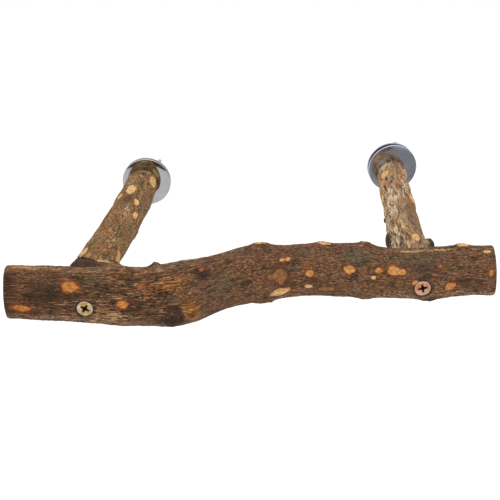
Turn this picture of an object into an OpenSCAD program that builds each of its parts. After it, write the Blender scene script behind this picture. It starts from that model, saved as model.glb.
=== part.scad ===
// Natural-wood bird perch: a barked branch on two short arms that clamp to a cage wall.
// X runs along the perch, Y points through the cage wall, Z is up. All sizes are millimetres.
// The origin is midway between the two studs, on the wall side of the front washers.

/* [Main branch] */
// Length of the standing branch
branch_len = 306; // [280:1:340]
// Thickness of the branch where its thickness share is 1
branch_d = 33; // [28:0.5:40]
// Distance from the cage wall to the branch's axis
branch_reach = 165; // [150:1:200]
// How far the branch hangs below the studs
branch_drop = 9; // [0:0.5:15]
// How far the branch's middle lies to the left of the studs' middle
branch_shift = 19.5; // [10:0.5:28]
// Height of the sawn side stub that carries the left arm, at the middle of its cut
stub_h = 18.5; // [12:0.5:24]
// Depth of the flat seat bored into the branch for the right arm
seat_depth = 4.5; // [3.5:0.25:6]
// Clearance round the right arm in its bored seat
seat_play = 0.8; // [0.4:0.1:2]

/* [Left arm] */
// Thickness at the branch
left_root_d = 27.6; // [25:0.2:31]
// Thickness at the washer
left_end_d = 25.8; // [24:0.2:30]
// Sideways lean over the arm's length
left_lean = 15.7; // [12:0.1:18]
// Height of the arm's root above the branch's axis
left_root_rise = 5.4; // [3:0.1:6]
// How far the arm's end lies to the right of its stud
left_end_shift = -4.3; // [-5:0.1:2]
// How far the arm's end hangs below its stud
left_end_drop = 2.4; // [0:0.1:4]
// Slant of the cut between the stub and the arm
left_mitre_angle = 54; // [0:1:58]

/* [Right arm] */
// Thickness at the branch
right_root_d = 22.8; // [22:0.2:24]
// Thickness at the washer
right_end_d = 23.4; // [22:0.2:28]
// Sideways lean over the arm's length
right_lean = -16; // [-19:0.5:-12]
// How far the arm's end lies to the right of its stud
right_end_shift = -0.8; // [-3:0.1:3]
// How far the arm's end hangs below its stud
right_end_drop = 5.4; // [2:0.1:6]

/* [Studs] */
// Distance between the two studs
stud_spacing = 206.4; // [190:0.2:220]
// Thread diameter of a stud
stud_d = 8; // [6:0.5:10]
// Length of machine thread standing out of an arm
stud_out = 30; // [28:1:45]
// Length of wood thread held in an arm
stud_in = 30; // [20:1:40]

/* [Screws] */
// Thread diameter of a screw
screw_d = 5; // [4:0.5:6]
// Length of a screw with its head
screw_len = 80; // [74:1:84]
// Diameter of the countersunk head
screw_head_d = 10; // [8:0.5:12]
// How far the head is sunk under the bark
screw_sink = 0.9; // [0.6:0.1:1.5]
// Clearance round the shank in the branch
screw_play = 0.25; // [0.15:0.05:0.5]
// How far the right screw lies to the right of its arm's root
right_screw_shift = -1.2; // [-2:0.1:2]
// How far the right screw lies below the branch's axis
right_screw_drop = 2.5; // [0:0.1:4]

/* [Washers] */
// Outside diameter of a washer
washer_d = 40; // [32:0.5:44]
// Thickness of a washer
washer_t = 1.5; // [1:0.1:2.5]
// Radial clearance of a washer on its stud
washer_play = 0.2; // [0.1:0.05:0.4]
// Gap between an arm's end and its front washer
end_gap = 0.3; // [0.2:0.05:0.5]
// Gap between the left washers as photographed
left_clamp_gap = 2.1; // [1:0.1:6]
// Gap between the right washers as photographed
right_clamp_gap = 5; // [1:0.1:6]

/* [Wing nuts] */
// Diameter of the nut's hub at the washer
hub_d = 15; // [13:0.25:18]
// Height of the hub
hub_h = 9; // [7:0.25:11]
// Distance from the stud's axis to the middle of a wing's tip
wing_reach = 12.8; // [11:0.2:16]
// Height of the middle of a wing's tip above the hub's foot
wing_rise = 12; // [9:0.5:15]
// Diameter of a wing's round tip
wing_tip_d = 9.4; // [7:0.2:11]
// Thickness of a wing
wing_t = 2.4; // [1.6:0.1:3]
// Running clearance of the nut on its stud
nut_play = 0.05; // [0.03:0.01:0.09]
// Gap between a nut and its washer
nut_gap = 0.1; // [0.05:0.01:0.2]
// Angle of the left nut's wings from the horizontal
left_wing_angle = 48; // [0:1:180]
// Angle of the right nut's wings from the horizontal
right_wing_angle = 67; // [0:1:180]

/* [Hidden] */

// Facets of round metal pieces
round_fn = 64;
// Rings and sides of a grown piece of wood
branch_rings = 62;
branch_sides = 32;
arm_rings = 26;
arm_sides = 24;
// Extra length of a cut past the face it opens
overrun = 2;

// Radius, rise and bow of the branch at evenly spaced places from its left end to its right end.
// Radii are shares of half the branch's thickness, rises and bows are shares of its thickness.
branch_radius_shares = [
    1.01, 1.02, 1.03, 1.08, 1.13, 1.13, 1.21, 1.17, 1.05, 1.08,
    1.01, 0.98, 0.99, 1.01, 0.96, 0.96, 0.97, 0.95, 0.95
];
branch_rise_shares = [
    0.07, -0.01, -0.08, -0.12, -0.15, -0.19, -0.16, -0.08, 0.04, 0.13,
    0.13, 0.16, 0.15, 0.11, 0.03, -0.04, -0.06, -0.05, -0.08
];
branch_bow_shares = [
    -0.05, 0, 0.03, 0, -0.02, -0.04, -0.08, -0.06, 0, 0.04,
    0.05, 0.02, -0.02, -0.03, -0.02, 0, 0.02, 0.02, 0
];

// Knots of the branch: place along it as a share of its length, angle round it from the top towards
// the cage wall, and height and width as shares of the branch's thickness
branch_knot_shares = [
    [0.095, -18, 0.04, 0.16], [0.31, -8, 0.05, 0.14], [0.36, 0, 0.04, 0.2], [0.375, -160, 0.03, 0.3],
    [0.52, -2, 0.05, 0.2], [0.53, 178, 0.04, 0.16], [0.635, 4, 0.05, 0.18], [0.72, 0, 0.07, 0.16],
    [0.74, 182, 0.05, 0.16], [0.865, -170, 0.06, 0.18], [0.93, 0, 0.06, 0.16], [0.79, -75, 0.03, 0.16],
    [0.6, 80, 0.06, 0.2], [0.22, 110, 0.05, 0.16], [0.88, 95, 0.05, 0.16]
];

// Radius of each arm from the branch to the washer, as shares of the straight taper
left_arm_shares = [1, 1.01, 0.99, 1, 1.02, 0.99, 1.01, 1.02, 0.98, 1];
right_arm_shares = [1, 0.98, 1, 1.03, 0.99, 0.97, 1, 1.02, 0.99, 1];
// Sideways bow of each arm as shares of its thickness at the branch
left_bow_shares = [0, 0.02, 0.04, 0.055, 0.06, 0.06, 0.05, 0.04, 0.02, 0];
right_bow_shares = [0, -0.02, -0.035, -0.05, -0.05, -0.05, -0.04, -0.03, -0.01, 0];

// Knots of the arms: place from branch to washer as a share of the length, angle from the top
// towards the right, and height and width as shares of the arm's thickness at the branch
left_knot_shares = [
    [0.12, -95, 0.05, 0.3], [0.55, 30, 0.05, 0.22], [0.72, -60, 0.06, 0.2], [0.8, -25, 0.06, 0.22],
    [0.9, 55, 0.06, 0.22], [0.4, 160, 0.06, 0.24]
];
right_knot_shares = [
    [0.2, -88, 0.12, 0.24], [0.19, 88, 0.16, 0.26], [0.4, -78, 0.05, 0.2], [0.58, 80, 0.08, 0.26],
    [0.86, -50, 0.07, 0.24], [0.88, 48, 0.06, 0.22], [0.5, 170, 0.08, 0.26]
];

// Pilot holes as shares of the threads that bite into them
pilot_share = 0.76;
// How much wider the stub is than the left arm, and the height and width of the swell at its foot,
// as shares of the left arm's thickness
stub_play_share = 0.01;
swell_height_share = 0.16;
swell_width_share = 0.75;
// How far round the branch the swell reaches, in degrees
swell_angle = 60;
// Fall of a knot or swell from its middle: larger is steeper
fall_share = 2;
// Point of a screw and the tips of a stud, as shares of their diameters
point_share = 1.2;
stud_point_share = 0.9;
stud_chamfer_share = 0.1;
// Cross recess of a screw as shares of the head's diameter: arm length, arm width and depth
cross_len_share = 0.52;
cross_width_share = 0.12;
cross_depth_share = 0.24;
// Straight rim of the head as a share of its diameter
rim_share = 0.05;
// Edge chamfer of a washer as a share of its thickness
washer_edge_share = 0.2;
// Taper of a nut's hub, and the root of its wings, as shares of the hub's diameter
hub_top_share = 0.84;
wing_root_share = 0.24;
wing_root_rise_share = 0.26;

// Places worked out from the sizes above
left_x = -stud_spacing / 2;
right_x = stud_spacing / 2;
arm_end_y = -washer_t - end_gap;
left_end_x = left_x + left_end_shift;
right_end_x = right_x + right_end_shift;
left_root_x = left_end_x - left_lean;
right_root_x = right_end_x + right_lean;
left_branch_share = share_at(left_root_x);
right_branch_share = share_at(right_root_x);
left_root_y = branch_y(left_branch_share) + branch_r(left_branch_share) + stub_h;
right_root_y = branch_y(right_branch_share) + branch_r(right_branch_share) - seat_depth;
left_root_z = branch_z(left_branch_share) + left_root_rise;
right_root_z = branch_z(right_branch_share);
left_screw_place = [left_root_x, head_y(left_branch_share, 0), branch_z(left_branch_share)];
right_screw_place = [
    right_root_x + right_screw_shift,
    head_y(right_branch_share, right_screw_drop),
    branch_z(right_branch_share) - right_screw_drop
];
stub_r = left_root_d / 2 * (1 + stub_play_share);
seat_r = right_root_d / 2 + seat_play;
screw_head_h = (screw_head_d - screw_d) / 2 + screw_head_d * rim_share;

// Smooth value at share t of a table of evenly spaced values
function along(table, t) =
    let (
        n = len(table) - 1,
        x = min(max(t, 0), 1) * n,
        i = min(floor(x), n - 1),
        f = x - i,
        a = table[max(i - 1, 0)],
        b = table[i],
        c = table[i + 1],
        d = table[min(i + 2, n)]
    )
    b + f / 2 * (c - a + f * (2 * a - 5 * b + 4 * c - d + f * (3 * (b - c) + d - a)));

// Straight value between a and b at share t
function between(a, b, t) = a + (b - a) * t;

// Angle difference folded into -180 to 180
function turn_between(a, b) = ((a - b + 540) % 360) - 180;

// Height that the knots of a table add at share t and angle a of a piece of length l and thickness d
function knots(table, t, a, l, d) =
    d * sum_of([
        for (k = table)
            let (
                dx = (t - k[0]) * l / (d * k[3]),
                da = turn_between(a, k[1]) * PI / 360 / k[3]
            )
            k[2] * exp(-fall_share * (dx * dx + da * da))
    ]);

// Sum of a list
function sum_of(list, i = 0) = i < len(list) ? list[i] + sum_of(list, i + 1) : 0;

// The branch at share t of its length: share for a place x, and its axis and plain radius
function share_at(x) = (x + branch_shift) / branch_len + 0.5;
function branch_x(t) = (t - 0.5) * branch_len - branch_shift;
function branch_y(t) = -branch_reach + branch_d * along(branch_bow_shares, t);
function branch_z(t) = -branch_drop + branch_d * along(branch_rise_shares, t);
function branch_r(t) = branch_d / 2 * along(branch_radius_shares, t);

// Face of a screw's head at share t and some way below the axis, sunk into the front of the branch
function head_y(t, drop) = branch_y(t) - sqrt(branch_r(t) * branch_r(t) - drop * drop) + screw_sink;

// Swell of the branch's back at the root of the left stub
function swell(t, a) =
    let (
        dx = (t - left_branch_share) * branch_len / (left_root_d * swell_width_share),
        da = turn_between(a, 90) / swell_angle
    )
    left_root_d * swell_height_share * exp(-fall_share * (dx * dx + da * da));

// Point of the branch's skin at share t, at angle a from the top towards the cage wall
function branch_point(t, a) =
    let (
        r = branch_r(t) + knots(branch_knot_shares, t, a, branch_len, branch_d) + swell(t, a)
    )
    [branch_x(t), branch_y(t) + r * sin(a), branch_z(t) + r * cos(a)];

// Point of an arm's skin at share t from its root to its end, at angle a from the top to the right.
// The root is cut at a slant, with its top nearest the branch.
function arm_point(root, end, root_d, end_d, mitre, radius_shares, bow_shares, knot_table, t, a) =
    let (
        l = end[1] - root[1],
        bow = root_d * along(bow_shares, t),
        r = between(root_d, end_d, t) / 2 * along(radius_shares, t)
            + knots(knot_table, t, a, l, root_d) * sin(180 * t)
    )
    [
        between(root[0], end[0], t) + bow + r * sin(a),
        between(root[1] - r * cos(a) * tan(mitre), end[1], t),
        between(root[2], end[2], t) + r * cos(a)
    ];

// Closed skin over rings of points, all rings with as many points
module skin(rings) {
    n = len(rings[0]);
    m = len(rings);
    polyhedron(
        points = [for (ring = rings, p = ring) p],
        faces = concat(
            [[for (j = [n - 1 : -1 : 0]) j]],
            [
                for (i = [0 : m - 2], j = [0 : n - 1], half = [0, 1])
                    let (
                        k = (j + 1) % n,
                        p = i * n
                    )
                    half == 0 ? [p + j, p + k, p + n + j] : [p + k, p + n + k, p + n + j]
            ],
            [[for (j = [0 : n - 1]) (m - 1) * n + j]]
        )
    );
}

// Stands a piece drawn along +Z at a place, pointing through the cage wall
module toward_wall(x, y, z) {
    translate([x, y, z])
        rotate([-90, 0, 0])
            children();
}

// Hole of one screw through the branch: clearance bore, countersink and mouth
module screw_hole(place) {
    head_r = screw_head_d / 2 + screw_play;
    shank_r = screw_d / 2 + screw_play;
    toward_wall(place[0], place[1], place[2]) {
        cylinder(h = screw_len, r = shank_r, $fn = round_fn);
        translate([0, 0, screw_head_d * rim_share])
            cylinder(h = head_r - shank_r, r1 = head_r, r2 = shank_r, $fn = round_fn);
        translate([0, 0, -branch_d])
            cylinder(h = branch_d + screw_head_d * rim_share, r = head_r, $fn = round_fn);
    }
}

// The stub behind the branch, cut at a slant where the left arm stands on it
module left_stub() {
    slant_h = stub_r * tan(left_mitre_angle);
    difference() {
        toward_wall(left_root_x, branch_y(left_branch_share), left_root_z)
            cylinder(h = left_root_y - branch_y(left_branch_share) + slant_h, r = stub_r, $fn = round_fn);
        translate([left_root_x, left_root_y, left_root_z])
            rotate([left_mitre_angle, 0, 0])
                translate([-left_root_d, 0, -2 * left_root_d])
                    cube([2 * left_root_d, 2 * left_root_d, 4 * left_root_d]);
    }
}

// The standing branch with the stub for the left arm and the seat for the right arm
module main_branch() {
    color("#7a5c3e")
        difference() {
            union() {
                skin([
                    for (i = [0 : branch_rings])
                        [
                            for (j = [0 : branch_sides - 1])
                                branch_point(i / branch_rings, 360 * j / branch_sides)
                        ]
                ]);
                left_stub();
            }
            screw_hole(left_screw_place);
            screw_hole(right_screw_place);
            toward_wall(right_root_x, right_root_y, right_root_z)
                cylinder(h = branch_d, r = seat_r, $fn = round_fn);
        }
}

// One arm between its root on the branch and its end at the washer, with the pilot holes for the stud
// and for the screw that comes through the branch
module arm(root, end, root_d, end_d, mitre, radius_shares, bow_shares, knot_table, screw_place, stud_x) {
    difference() {
        skin([
            for (i = [0 : arm_rings])
                [
                    for (j = [0 : arm_sides - 1])
                        arm_point(root, end, root_d, end_d, mitre, radius_shares, bow_shares, knot_table,
                            i / arm_rings, -360 * j / arm_sides)
                ]
        ]);
        toward_wall(screw_place[0], screw_place[1], screw_place[2])
            cylinder(h = screw_len, r = screw_d / 2 * pilot_share, $fn = round_fn);
        toward_wall(stud_x, end[1] - stud_in, 0)
            cylinder(h = stud_in + overrun, r = stud_d / 2 * pilot_share, $fn = round_fn);
    }
}

module left_arm() {
    color("#6f5a3a")
        arm([left_root_x, left_root_y, left_root_z], [left_end_x, arm_end_y, -left_end_drop],
            left_root_d, left_end_d, left_mitre_angle, left_arm_shares, left_bow_shares,
            left_knot_shares, left_screw_place, left_x);
}

module right_arm() {
    color("#a58b6d")
        arm([right_root_x, right_root_y, right_root_z], [right_end_x, arm_end_y, -right_end_drop],
            right_root_d, right_end_d, 0, right_arm_shares, right_bow_shares,
            right_knot_shares, right_screw_place, right_x);
}

// Countersunk wood screw with a cross recess, its head's face at the bottom
module screw() {
    shank_r = screw_d / 2;
    head_r = screw_head_d / 2;
    rim = screw_head_d * rim_share;
    point = screw_d * point_share;
    cross_depth = screw_head_d * cross_depth_share;
    difference() {
        union() {
            cylinder(h = rim, r = head_r, $fn = round_fn);
            translate([0, 0, rim])
                cylinder(h = screw_head_h - rim, r1 = head_r, r2 = shank_r, $fn = round_fn);
            cylinder(h = screw_len - point, r = shank_r, $fn = round_fn);
            translate([0, 0, screw_len - point])
                cylinder(h = point, r1 = shank_r, r2 = 0, $fn = round_fn);
        }
        for (turn = [0, 90])
            rotate([0, 0, turn])
                translate([0, 0, (cross_depth - overrun) / 2])
                    cube([screw_head_d * cross_len_share, screw_head_d * cross_width_share,
                        cross_depth + overrun], center = true);
    }
}

module left_screw() {
    color("#c9b46a")
        toward_wall(left_screw_place[0], left_screw_place[1], left_screw_place[2])
            screw();
}

module right_screw() {
    color("#c4a08c")
        toward_wall(right_screw_place[0], right_screw_place[1], right_screw_place[2])
            screw();
}

// Hanger bolt: wood thread with a point below, machine thread with a chamfered tip above
module stud() {
    r = stud_d / 2;
    point = stud_d * stud_point_share;
    chamfer = stud_d * stud_chamfer_share;
    rotate_extrude($fn = round_fn)
        polygon([
            [0, -stud_in],
            [r * pilot_share, -stud_in + point],
            [r, -stud_in + point],
            [r, stud_out - chamfer],
            [r - chamfer, stud_out],
            [0, stud_out]
        ]);
}

module left_stud() {
    color("#b9bcc0")
        toward_wall(left_x, arm_end_y, 0)
            stud();
}

module right_stud() {
    color("#b9bcc0")
        toward_wall(right_x, arm_end_y, 0)
            stud();
}

// Wide flat washer with eased rims
module washer() {
    edge = washer_t * washer_edge_share;
    inner = stud_d / 2 + washer_play;
    outer = washer_d / 2;
    rotate_extrude($fn = 2 * round_fn)
        polygon([
            [inner, 0], [outer - edge, 0], [outer, edge],
            [outer, washer_t - edge], [outer - edge, washer_t], [inner, washer_t]
        ]);
}

module left_front_washer() {
    color("#c8cace")
        toward_wall(left_x, -washer_t, 0)
            washer();
}

module right_front_washer() {
    color("#c8cace")
        toward_wall(right_x, -washer_t, 0)
            washer();
}

module left_rear_washer() {
    color("#c8cace")
        toward_wall(left_x, left_clamp_gap, 0)
            washer();
}

module right_rear_washer() {
    color("#c8cace")
        toward_wall(right_x, right_clamp_gap, 0)
            washer();
}

// Outline of one wing: a small root circle and a large tip circle with straight sides between them
module wing_outline() {
    root = [hub_d * wing_root_share, hub_d * wing_root_rise_share];
    root_r = hub_d * wing_root_rise_share;
    tip = [wing_reach, wing_rise];
    tip_r = wing_tip_d / 2;
    span = norm(tip - root);
    heading = atan2(tip[1] - root[1], tip[0] - root[0]);
    spread = acos((root_r - tip_r) / span);
    translate(root)
        circle(r = root_r, $fn = round_fn / 2);
    translate(tip)
        circle(r = tip_r, $fn = round_fn / 2);
    polygon([
        root + root_r * [cos(heading + spread), sin(heading + spread)],
        root + root_r * [cos(heading - spread), sin(heading - spread)],
        tip + tip_r * [cos(heading - spread), sin(heading - spread)],
        tip + tip_r * [cos(heading + spread), sin(heading + spread)]
    ]);
}

// Wing nut with its foot at the bottom and its wings along X
module wing_nut() {
    difference() {
        union() {
            cylinder(h = hub_h, r1 = hub_d / 2, r2 = hub_d / 2 * hub_top_share, $fn = round_fn);
            for (side = [0, 1])
                mirror([side, 0, 0])
                    translate([0, wing_t / 2, 0])
                        rotate([90, 0, 0])
                            linear_extrude(height = wing_t)
                                wing_outline();
        }
        translate([0, 0, -overrun])
            cylinder(h = wing_rise + wing_tip_d + 2 * overrun, r = stud_d / 2 + nut_play, $fn = round_fn);
    }
}

module left_wing_nut() {
    color("#b4b7bb")
        toward_wall(left_x, left_clamp_gap + washer_t + nut_gap, 0)
            rotate([0, 0, -left_wing_angle])
                wing_nut();
}

module right_wing_nut() {
    color("#b4b7bb")
        toward_wall(right_x, right_clamp_gap + washer_t + nut_gap, 0)
            rotate([0, 0, -right_wing_angle])
                wing_nut();
}

main_branch();
left_arm();
right_arm();
left_screw();
right_screw();
left_stud();
right_stud();
left_front_washer();
right_front_washer();
left_rear_washer();
right_rear_washer();
left_wing_nut();
right_wing_nut();
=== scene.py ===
# %% [markdown]
# # Bird perch
# A bird perch for a cage: a barked branch on two short arms, each clamped to the cage wall by two washers and
# a wing nut on a stud. This lesson dresses the plain solids of the part in bark, sawn wood and zinc.

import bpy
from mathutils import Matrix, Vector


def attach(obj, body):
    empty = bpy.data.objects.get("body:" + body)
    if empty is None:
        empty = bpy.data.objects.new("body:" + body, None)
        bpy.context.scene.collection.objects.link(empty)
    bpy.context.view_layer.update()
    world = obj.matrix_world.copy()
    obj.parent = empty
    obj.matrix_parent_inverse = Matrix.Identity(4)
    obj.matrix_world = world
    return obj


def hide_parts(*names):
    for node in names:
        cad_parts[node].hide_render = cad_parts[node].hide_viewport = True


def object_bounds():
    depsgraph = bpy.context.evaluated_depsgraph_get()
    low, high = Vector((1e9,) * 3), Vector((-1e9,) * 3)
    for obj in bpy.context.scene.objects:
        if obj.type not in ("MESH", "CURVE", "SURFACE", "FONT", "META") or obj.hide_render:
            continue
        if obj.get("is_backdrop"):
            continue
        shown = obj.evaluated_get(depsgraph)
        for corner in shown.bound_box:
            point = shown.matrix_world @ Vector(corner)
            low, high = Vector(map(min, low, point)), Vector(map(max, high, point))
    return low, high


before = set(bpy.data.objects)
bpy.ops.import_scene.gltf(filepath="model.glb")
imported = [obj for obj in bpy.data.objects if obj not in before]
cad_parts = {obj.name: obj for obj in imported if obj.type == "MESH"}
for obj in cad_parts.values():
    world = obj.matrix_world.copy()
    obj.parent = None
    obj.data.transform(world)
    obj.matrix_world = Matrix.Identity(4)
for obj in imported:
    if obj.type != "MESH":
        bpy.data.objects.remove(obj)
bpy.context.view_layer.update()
print("nodes", sorted(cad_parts))

# %% Tools for the lesson
import math

import bmesh
import bpy
import numpy as np
from mathutils import Matrix, Vector, noise

MM = 0.001
scene = bpy.context.scene
scene.view_settings.view_transform = "Standard"

# %% [markdown]
# ## Camera
# The washers are two circles of a known size, so their outlines in the photograph give the camera: a 50 mm
# lens that looks down on the perch from the front, held slightly askew. It comes first, as each piece is
# judged through it.

# %% Camera
LOOK_DOWN, ROLL = 26.5, -3.2
camera = bpy.data.objects.new("camera", bpy.data.cameras.new("camera"))
camera.data.lens = 50
camera.data.sensor_width = 36
camera.matrix_world = (
    Matrix.Translation((-0.0199, -0.5498, 0.2046))
    @ Matrix.Rotation(math.radians(90 - LOOK_DOWN), 4, "X")
    @ Matrix.Rotation(math.radians(ROLL), 4, "Z")
)
scene.collection.objects.link(camera)
scene.camera = camera
print("camera at", tuple(round(x, 4) for x in camera.location))

# %% [markdown]
# ## Node helpers
# Every finish is a tree of nodes, and most of them repeat a few steps. These helpers add a node or two each,
# so that a finish reads as a short recipe. A node joins the tree of the sockets that it takes. A colour of
# three numbers is given as the eye sees it, from 0 to 255. Sizes are in millimetres.


# %% Node helpers
def paint(colour, share=1):
    light = (c / 255 / 12.92 if c < 11 else ((c / 255 + 0.055) / 1.055) ** 2.4 for c in colour)
    return (*(c * share for c in light), 1)


def ready(colour):
    if isinstance(colour, (int, float)):
        return (colour, colour, colour, 1)
    return paint(colour) if isinstance(colour, tuple) and len(colour) == 3 else colour


def add(tree, kind, sockets, **settings):
    node = tree.nodes.new("ShaderNode" + kind)
    for name, value in settings.items():
        setattr(node, name, value)
    for name, value in sockets.items():
        if isinstance(value, bpy.types.NodeSocket):
            tree.links.new(value, node.inputs[name])
        else:
            node.inputs[name].default_value = value
    return node


def join(kind, sockets, **settings):
    tree = next(value.id_data for value in sockets.values() if isinstance(value, bpy.types.NodeSocket))
    return add(tree, kind, sockets, **settings)


def start_finish(name, **sockets):
    finish = bpy.data.materials.new(name)
    finish.use_nodes = True
    tree = finish.node_tree
    tree.nodes.clear()
    shader = add(tree, "BsdfPrincipled", {k.replace("_", " "): v for k, v in sockets.items()})
    add(tree, "OutputMaterial", {"Surface": shader.outputs[0]})
    return finish, tree, shader


def plug(shader, **values):
    for name, value in values.items():
        shader.id_data.links.new(value, shader.inputs[name.replace("_", " ")])


def object_place(tree):
    return add(tree, "TexCoord", {}).outputs["Object"]


def kept(tree, name, output="Fac"):
    return add(tree, "Attribute", {}, attribute_name=name).outputs[output]


def stretched(vector, sizes, shift=(0, 0, 0)):
    scale = tuple(1 / (size * MM) for size in sizes)
    return join("Mapping", {"Vector": vector, "Scale": scale, "Location": shift}).outputs[0]


def mottle(vector, detail=3, rough=0.55, twist=0):
    sockets = {"Vector": vector, "Scale": 1, "Detail": detail, "Roughness": rough, "Distortion": twist}
    return join("TexNoise", sockets).outputs[0]


def speckle(vector, sizes, detail=3, rough=0.55, twist=0, shift=(0, 0, 0)):
    return mottle(stretched(vector, sizes, shift), detail, rough, twist)


def ramp(value, *stops):
    node = join("ValToRGB", {"Fac": value})
    while len(node.color_ramp.elements) < len(stops):
        node.color_ramp.elements.new(0.5)
    for element, (place, colour) in zip(node.color_ramp.elements, stops):
        element.position = place
        element.color = ready(colour)
    return node.outputs[0]


def part_of(value, low, high, to_low=0, to_high=1):
    sockets = {"Value": value, "From Min": low, "From Max": high, "To Min": to_low, "To Max": to_high}
    return join("MapRange", sockets, interpolation_type="SMOOTHSTEP").outputs[0]


def sums(operation, first, second=0.5):
    return join("Math", {0: first, 1: second}, operation=operation).outputs[0]


def plus(first, second):
    return sums("ADD", first, second)


def times(first, second):
    return sums("MULTIPLY", first, second)


def mixed(share, first, second, blend_type="MIX"):
    sockets = {0: share, 6: ready(first), 7: ready(second)}
    return join("Mix", sockets, data_type="RGBA", blend_type=blend_type).outputs[2]


def raised(height, strength, depth):
    return join("Bump", {"Height": height, "Strength": strength, "Distance": depth * MM}).outputs[0]


# %% [markdown]
# ## Studio
# The perch was photographed on white, without a shadow. A large pale floor well below it, two soft boxes and
# an even white sky give that light. The polished washers mirror what lies in front of them, so two grey cards
# lie there that show in mirrors alone.


# %% Floor and cards
def new_object(name, bm, *finishes):
    mesh = bpy.data.meshes.new(name)
    bm.to_mesh(mesh)
    bm.free()
    for finish in finishes:
        mesh.materials.append(finish)
    thing = bpy.data.objects.new(name, mesh)
    scene.collection.objects.link(thing)
    return thing


def card(name, low, high, height, tone):
    bm = bmesh.new()
    bmesh.ops.create_grid(bm, x_segments=1, y_segments=1, size=0.5)
    bmesh.ops.scale(bm, vec=(high[0] - low[0], high[1] - low[1], 1), verts=bm.verts)
    middle = ((low[0] + high[0]) / 2, (low[1] + high[1]) / 2, height)
    bmesh.ops.translate(bm, vec=middle, verts=bm.verts)
    finish, tree, shader = start_finish(name, Roughness=0.9)
    speck = speckle(object_place(tree), (60, 60, 60))
    plug(shader, Base_Color=ramp(speck, (0.3, tone * 0.97), (0.7, tone)))
    sheet = new_object(name, bm, finish)
    sheet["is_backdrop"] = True
    return sheet


FLOOR = -0.3
card("floor", (-8, -4), (8, 12), FLOOR, 0.96)
for name, low, high, tone in (
    ("left_card", (-1.6, -2.4), (0.02, -0.42), 0.8),
    ("right_card", (0.02, -2.4), (1.8, -0.42), 0.26),
):
    sheet = card(name, low, high, FLOOR + 0.005, tone)
    sheet.visible_camera = sheet.visible_diffuse = sheet.visible_shadow = sheet.visible_transmission = False
print("floor", -1000 * FLOOR, "mm below the studs")

# %% Lights
scene.world = bpy.data.worlds.new("sky")
scene.world.use_nodes = True
sky = scene.world.node_tree.nodes["Background"].inputs
sky["Color"].default_value = (1, 1, 1, 1)
sky["Strength"].default_value = 1.06


def soft_box(name, place, aim, size, power):
    lamp = bpy.data.objects.new(name, bpy.data.lights.new(name, "AREA"))
    lamp.data.shape = "RECTANGLE"
    lamp.data.size, lamp.data.size_y = size
    lamp.data.energy = power
    lamp.location = place
    lamp.rotation_euler = (Vector(aim) - Vector(place)).to_track_quat("-Z", "Y").to_euler()
    scene.collection.objects.link(lamp)


soft_box("top_box", (0.15, -0.25, 1.3), (0, -0.1, 0), (1.1, 0.9), 5)
soft_box("front_box", (-0.5, -1.1, 0.8), (0, -0.1, 0), (0.8, 0.6), 2)
print("two soft boxes and a white sky")

# %% [markdown]
# ## The branch as a formula
# A branch grows as a line that wanders and a radius that swells at its knots. The solids use tables of both,
# and the bark skin uses the same tables, so it lies on the solid. A smooth curve runs through each table's
# values.

# %% Tables of the wood
BRANCH_RADIUS = (
    1.01, 1.02, 1.03, 1.08, 1.13, 1.13, 1.21, 1.17, 1.05, 1.08, 1.01, 0.98, 0.99, 1.01, 0.96, 0.96, 0.97,
    0.95, 0.95,
)
BRANCH_RISE = (
    0.07, -0.01, -0.08, -0.12, -0.15, -0.19, -0.16, -0.08, 0.04, 0.13, 0.13, 0.16, 0.15, 0.11, 0.03, -0.04,
    -0.06, -0.05, -0.08,
)
BRANCH_BOW = (
    -0.05, 0, 0.03, 0, -0.02, -0.04, -0.08, -0.06, 0, 0.04, 0.05, 0.02, -0.02, -0.03, -0.02, 0, 0.02, 0.02,
    0,
)


def smooth_table(table, t):
    values, t = np.asarray(table, float), np.clip(t, 0, 1)
    last = len(values) - 1
    i = np.minimum((t * last).astype(int), last - 1)
    f = t * last - i
    a, b, c, d = values[np.maximum(i - 1, 0)], values[i], values[i + 1], values[np.minimum(i + 2, last)]
    return b + f / 2 * (c - a + f * (2 * a - 5 * b + 4 * c - d + f * (3 * (b - c) + d - a)))


def gentle(value, low, high):
    x = np.clip((value - low) / (high - low), 0, 1)
    return x * x * (3 - 2 * x)


def hump(*ratios):
    return np.exp(-sum(ratio**2 for ratio in ratios))


def rough(points, sizes, octaves, seed=0):
    places = (points / np.array(sizes) + seed).tolist()
    return np.array([noise.fractal(p, 1.0, 2.0, octaves) for p in places])


def cracks(points, sizes, seed):
    near = [noise.voronoi(p)[0] for p in (points / np.array(sizes) + seed).tolist()]
    return np.array([d[1] - d[0] for d in near])


print("tables of", len(BRANCH_RADIUS), "places")

# %% [markdown]
# ## A closed barrel
# Each piece of wood is one closed skin: a side and two sawn ends. Four points make half of its outline, the
# outline is cut into short steps, and spinning it round gives the barrel. Merging closes the seam and the two
# poles. A formula then moves the points, which keeps the faces even, and a sculpted sphere wouldn't. A point
# knows its place by t along the barrel, rho out from the middle and the angle a round it.


# %% Barrel
def barrel(steps_along, steps_in, sides):
    bm = bmesh.new()
    corners = [bm.verts.new(p) for p in ((0, 0, 0), (0, 0, 1), (1, 0, 1), (1, 0, 0))]
    outline = [bm.edges.new(pair) for pair in zip(corners, corners[1:])]
    for edge, steps in zip(outline, (steps_in, steps_along, steps_in)):
        bmesh.ops.subdivide_edges(bm, edges=[edge], cuts=steps - 1)
    bmesh.ops.spin(bm, geom=bm.verts[:] + bm.edges[:], axis=(1, 0, 0), cent=(0, 0, 0), angle=math.tau,
                   steps=sides, use_merge=True)
    bmesh.ops.remove_doubles(bm, verts=bm.verts, dist=1e-6)
    unit = np.array([v.co for v in bm.verts])
    return bm, unit[:, 0], np.hypot(unit[:, 1], unit[:, 2]), np.arctan2(unit[:, 1], unit[:, 2])


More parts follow.
